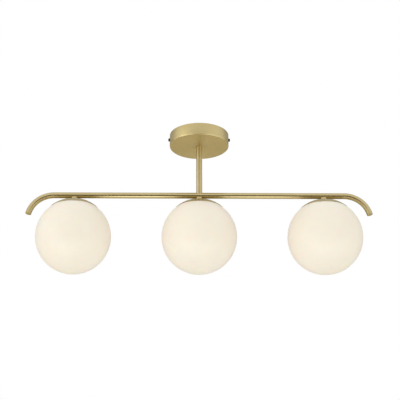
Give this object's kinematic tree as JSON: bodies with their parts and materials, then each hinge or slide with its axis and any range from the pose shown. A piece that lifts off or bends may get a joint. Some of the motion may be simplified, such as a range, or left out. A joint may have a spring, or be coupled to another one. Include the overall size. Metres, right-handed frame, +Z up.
{
  "type": "globe ceiling bar light",
  "caption": "Ceiling light: opal glass globes under brass dish caps hang from a straight tube with curved ends, on a short stem and round canopy.",
  "frame": {"origin": "centre of the fixing strap's two slots, on the ceiling plane", "axes": "+Z up into the ceiling, +X along the straight tube, -Y towards the room"},
  "size_m": [0.694, 0.15, 0.298],
  "materials": {
    "satin_brass": "satin brushed and lacquered",
    "opal_glass": "opal, gloss",
    "bulb_glass": "opal, gloss",
    "zinc_steel": "zinc plated",
    "black_steel": "blackened, satin",
    "plain_brass": "turned, bare",
    "turned_aluminium": "turned",
    "nickel_base": "nickel look, satin",
    "black_plastic": "moulded, matt",
    "ivory_plastic": "moulded, satin",
    "clear_sleeving": "extruded, satin",
    "white_silicone": "moulded, matt",
    "black_rubber": "moulded, matt"
  },
  "bodies": {
    "strap": {"ceiling_bracket": "zinc_steel", "cable_bush": "black_rubber", "earth_screw": "plain_brass"},
    "fitting": {"canopy": "satin_brass", "clamp_nuts": "zinc_steel", "stem": "satin_brass", "stem_nipple": "zinc_steel", "stem_washer": "zinc_steel", "stem_nut": "plain_brass", "terminal_block": "ivory_plastic", "terminal_screws": "plain_brass", "terminal_fixing_screw": "zinc_steel", "bar": "satin_brass", "end_plug_left": "satin_brass", "end_plug_right": "satin_brass", "lamp_nipples": "zinc_steel", "lamp_nuts": "plain_brass", "boss_left": "satin_brass", "cap_left": "satin_brass", "gallery_left": "turned_aluminium", "holder_cap_left": "black_plastic", "holder_body_left": "black_plastic", "holder_contacts_left": "plain_brass", "lead_left": "clear_sleeving", "boss_middle": "satin_brass", "cap_middle": "satin_brass", "gallery_middle": "turned_aluminium", "holder_cap_middle": "black_plastic", "holder_body_middle": "black_plastic", "holder_contacts_middle": "plain_brass", "lead_middle": "clear_sleeving", "boss_right": "satin_brass", "cap_right": "satin_brass", "gallery_right": "turned_aluminium", "holder_cap_right": "black_plastic", "holder_body_right": "black_plastic", "holder_contacts_right": "plain_brass", "lead_right": "clear_sleeving"},
    "clamp_left": {"clamp_screw_left": "black_steel"},
    "clamp_right": {"clamp_screw_right": "black_steel"},
    "seal_left": {"seal_left": "white_silicone"},
    "globe_left": {"globe_left": "opal_glass"},
    "bulb_left": {"bulb_base_left": "nickel_base", "bulb_glass_left": "bulb_glass"},
    "seal_middle": {"seal_middle": "white_silicone"},
    "globe_middle": {"globe_middle": "opal_glass"},
    "bulb_middle": {"bulb_base_middle": "nickel_base", "bulb_glass_middle": "bulb_glass"},
    "seal_right": {"seal_right": "white_silicone"},
    "globe_right": {"globe_right": "opal_glass"},
    "bulb_right": {"bulb_base_right": "nickel_base", "bulb_glass_right": "bulb_glass"}
  },
  "joints": [
    {"name": "fitting_drop", "type": "slide", "parent": "strap", "child": "fitting", "axis": [0, 0, -1], "range_m": [0, 0.04]},
    {"name": "clamp_left_draw", "type": "slide", "parent": "fitting", "child": "clamp_left", "axis": [-1, 0, 0], "range_m": [0, 0.004]},
    {"name": "clamp_right_draw", "type": "slide", "parent": "fitting", "child": "clamp_right", "axis": [1, 0, 0], "range_m": [0, 0.004]},
    {"name": "globe_left_lower", "type": "slide", "parent": "fitting", "child": "seal_left", "axis": [0, 0, -1], "range_m": [0, 0.102]},
    {"name": "globe_left_unscrew", "type": "hinge", "parent": "seal_left", "child": "globe_left", "pos_m": [-0.25, 0, -0.22297], "axis": [0, 0, -1], "range_deg": [0, 900]},
    {"name": "bulb_left_draw", "type": "slide", "parent": "fitting", "child": "bulb_left", "axis": [0, 0, -1], "range_m": [0, 0.028]},
    {"name": "globe_middle_lower", "type": "slide", "parent": "fitting", "child": "seal_middle", "axis": [0, 0, -1], "range_m": [0, 0.102]},
    {"name": "globe_middle_unscrew", "type": "hinge", "parent": "seal_middle", "child": "globe_middle", "pos_m": [0, 0, -0.22297], "axis": [0, 0, -1], "range_deg": [0, 900]},
    {"name": "bulb_middle_draw", "type": "slide", "parent": "fitting", "child": "bulb_middle", "axis": [0, 0, -1], "range_m": [0, 0.028]},
    {"name": "globe_right_lower", "type": "slide", "parent": "fitting", "child": "seal_right", "axis": [0, 0, -1], "range_m": [0, 0.102]},
    {"name": "globe_right_unscrew", "type": "hinge", "parent": "seal_right", "child": "globe_right", "pos_m": [0.25, 0, -0.22297], "axis": [0, 0, -1], "range_deg": [0, 900]},
    {"name": "bulb_right_draw", "type": "slide", "parent": "fitting", "child": "bulb_right", "axis": [0, 0, -1], "range_m": [0, 0.028]}
  ]
}
